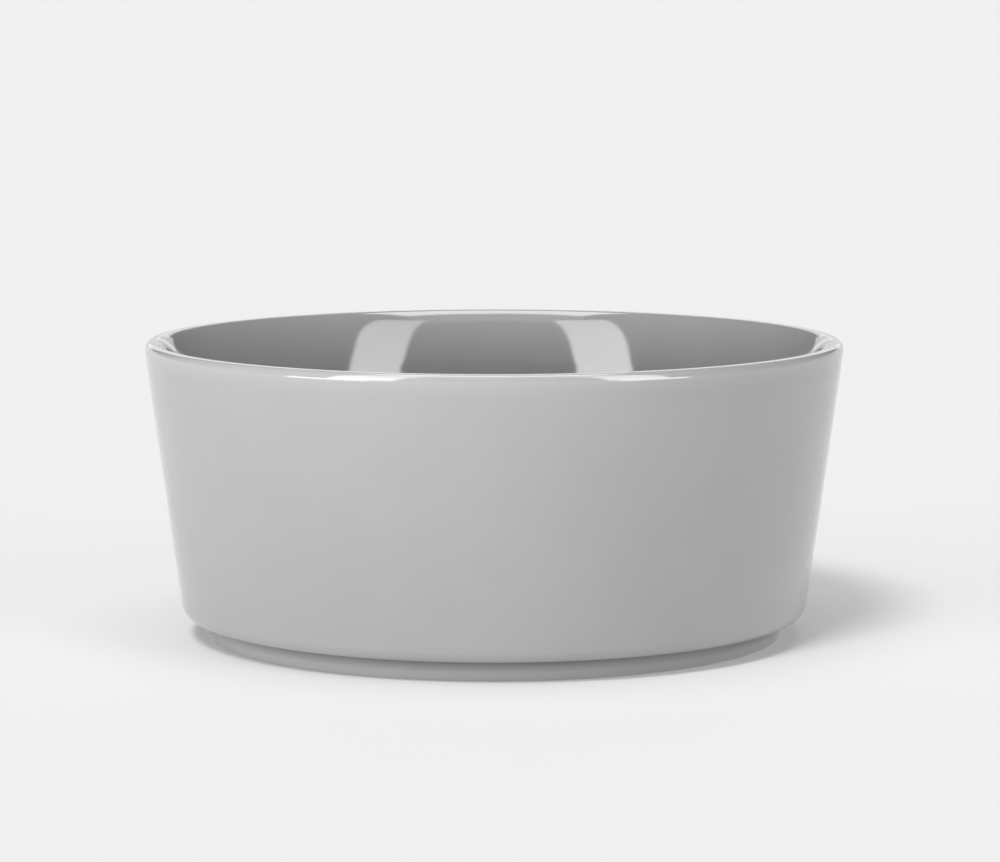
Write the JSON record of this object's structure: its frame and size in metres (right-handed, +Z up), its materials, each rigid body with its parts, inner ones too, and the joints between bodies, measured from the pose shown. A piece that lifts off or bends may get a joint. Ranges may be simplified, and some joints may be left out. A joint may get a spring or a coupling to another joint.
{
  "type": "glazed ceramic bowl",
  "caption": "Wide straight-sided ceramic bowl in glossy grey glaze, with a thick rounded rim and a recessed foot ring.",
  "frame": {"origin": "centre of the foot ring's flat contact face, on the bowl's axis", "axes": "+Z up along the bowl's axis, out of its open mouth; +X and +Y are any two horizontal directions, because the bowl is round"},
  "size_m": [0.165, 0.165, 0.07],
  "materials": {
    "bare_clay": "matte",
    "grey_glaze": "gloss",
    "underside_glaze": "gloss"
  },
  "bodies": {
    "root": {"ceramic_body": "bare_clay", "glaze_coat": "grey_glaze", "underside_glaze": "underside_glaze"}
  },
  "joints": []
}
